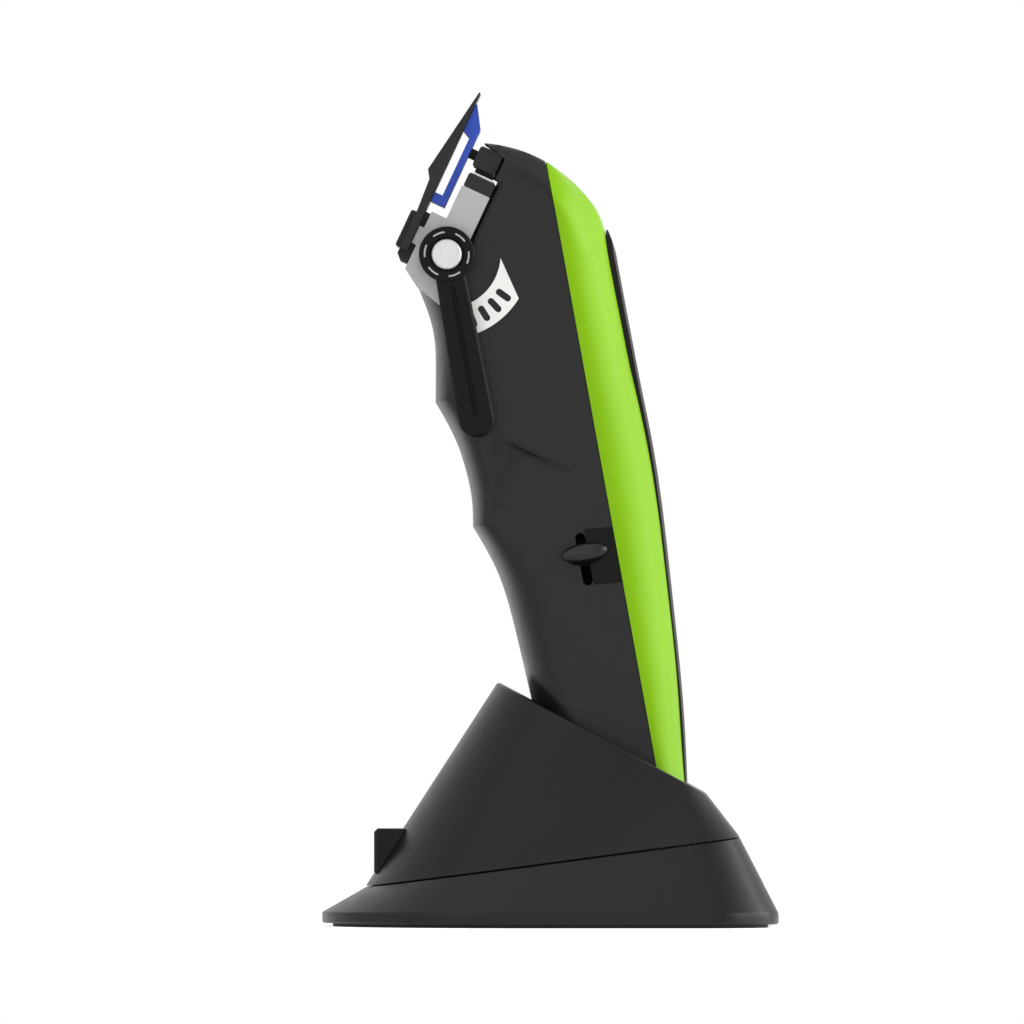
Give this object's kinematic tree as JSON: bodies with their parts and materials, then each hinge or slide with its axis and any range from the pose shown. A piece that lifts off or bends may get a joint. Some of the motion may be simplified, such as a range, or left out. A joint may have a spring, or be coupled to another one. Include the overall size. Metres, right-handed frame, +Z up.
{
  "type": "hair clipper",
  "caption": "Cordless hair clipper with a finger-grooved dark handle, lime back cover, taper lever and blue moving blade, leaning in a wedge-shaped charging dock.",
  "frame": {"origin": "middle of the charging dock's underside", "axes": "+Z up, +X from the blade side towards the lime back cover, the taper lever is on the -Y side"},
  "size_m": [0.1094, 0.086, 0.1998],
  "materials": {
    "housing_plastic": "satin dark grey",
    "lime_plastic": "glossy lime green",
    "spine_plastic": "satin dark grey",
    "screw_steel": "zinc plated",
    "contact_brass": "gold plated",
    "chassis_alloy": "bead blasted",
    "drive_plastic": "black, low friction",
    "rail_steel": "ground",
    "core_steel": "laminated",
    "coil_copper": "enamelled copper wire",
    "buffer_rubber": "soft",
    "magnet_nickel": "nickel plated",
    "cutter_blue": "blue coated steel",
    "blade_black": "black carbon coated steel",
    "carriage_steel": "blackened",
    "lever_plastic": "satin black",
    "mark_silver": "bright",
    "cap_alloy": "spun",
    "scale_white": "white",
    "cell_sleeve": "shrink sleeve",
    "inner_plastic": "moulded",
    "board_green": "solder resist",
    "panel_black": "glossy black",
    "switch_plastic": "satin dark grey",
    "dock_plastic": "fine grain dark grey",
    "cup_plastic": "satin black",
    "foot_rubber": "soft",
    "ballast_steel": "plain",
    "jack_plastic": "black",
    "spring_steel": "drawn wire"
  },
  "bodies": {
    "dock": {"dock_upper_shell": "dock_plastic", "dock_base_shell": "dock_plastic", "dock_base_plate": "dock_plastic", "dock_screws": "screw_steel", "rubber_foot": "foot_rubber", "dock_ballast": "ballast_steel", "inlet_housing": "dock_plastic", "inlet_jack": "jack_plastic", "cradle_cup": "cup_plastic", "contact_block": "inner_plastic", "contact_board": "board_green", "contact_springs": "spring_steel"},
    "contact_pins": {"contact_pins": "contact_brass"},
    "clipper": {"main_housing": "housing_plastic", "back_cover": "lime_plastic", "spine_panel": "spine_plastic", "cover_screws": "screw_steel", "tail_contacts": "contact_brass", "head_chassis": "chassis_alloy", "drive_guide": "drive_plastic", "slide_rail": "rail_steel", "motor_frame": "rail_steel", "chassis_screws": "screw_steel", "stator_core": "core_steel", "stator_coil": "coil_copper", "guide_rods": "rail_steel", "rod_buffers": "buffer_rubber", "scale_plate": "scale_white", "battery_cell": "cell_sleeve", "battery_cradle": "inner_plastic", "control_board": "board_green", "slide_switch": "inner_plastic", "switch_plate": "panel_black"},
    "switch_slider": {"switch_slider": "switch_plastic"},
    "taper_lever": {"taper_lever": "lever_plastic", "lever_marks": "mark_silver", "lever_cap": "cap_alloy", "lever_shaft": "rail_steel", "detent_ball": "rail_steel"},
    "blade_carriage": {"blade_carriage": "carriage_steel", "fixed_blade": "blade_black", "blade_clamp": "blade_black", "blade_screws": "screw_steel"},
    "cutter_drive": {"cutter_blade": "cutter_blue", "drive_head": "drive_plastic", "drive_arm": "drive_plastic", "mover_yoke": "rail_steel", "mover_magnets": "magnet_nickel"}
  },
  "joints": [
    {"name": "clipper_lift", "type": "slide", "parent": "dock", "child": "clipper", "axis": [-0.1788, 0, 0.9839], "range_m": [0, 0.06]},
    {"name": "contact_press", "type": "slide", "parent": "dock", "child": "contact_pins", "axis": [0.1788, 0, -0.9839], "range_m": [0, 0.001], "stiffness_N_per_m": 300, "deforming": ["contact_springs"]},
    {"name": "lever_turn", "type": "hinge", "parent": "clipper", "child": "taper_lever", "pos_m": [-0.02473, 0, 0.161], "axis": [0, -1, 0], "range_deg": [0, 44]},
    {"name": "blade_adjust", "type": "slide", "parent": "clipper", "child": "blade_carriage", "axis": [-0.4226, 0, -0.9063], "range_m": [0, 0.0022]},
    {"name": "cutter_stroke", "type": "slide", "parent": "clipper", "child": "cutter_drive", "axis": [0, 1, 0], "range_m": [-0.0014, 0.0014], "stiffness_N_per_m": 500},
    {"name": "switch_travel", "type": "slide", "parent": "clipper", "child": "switch_slider", "axis": [0.1788, 0, -0.9839], "range_m": [0, 0.0045]}
  ],
  "couplings": [
    {"joint": "lever_turn", "follows": "blade_adjust", "rad_per_m": 349}
  ]
}
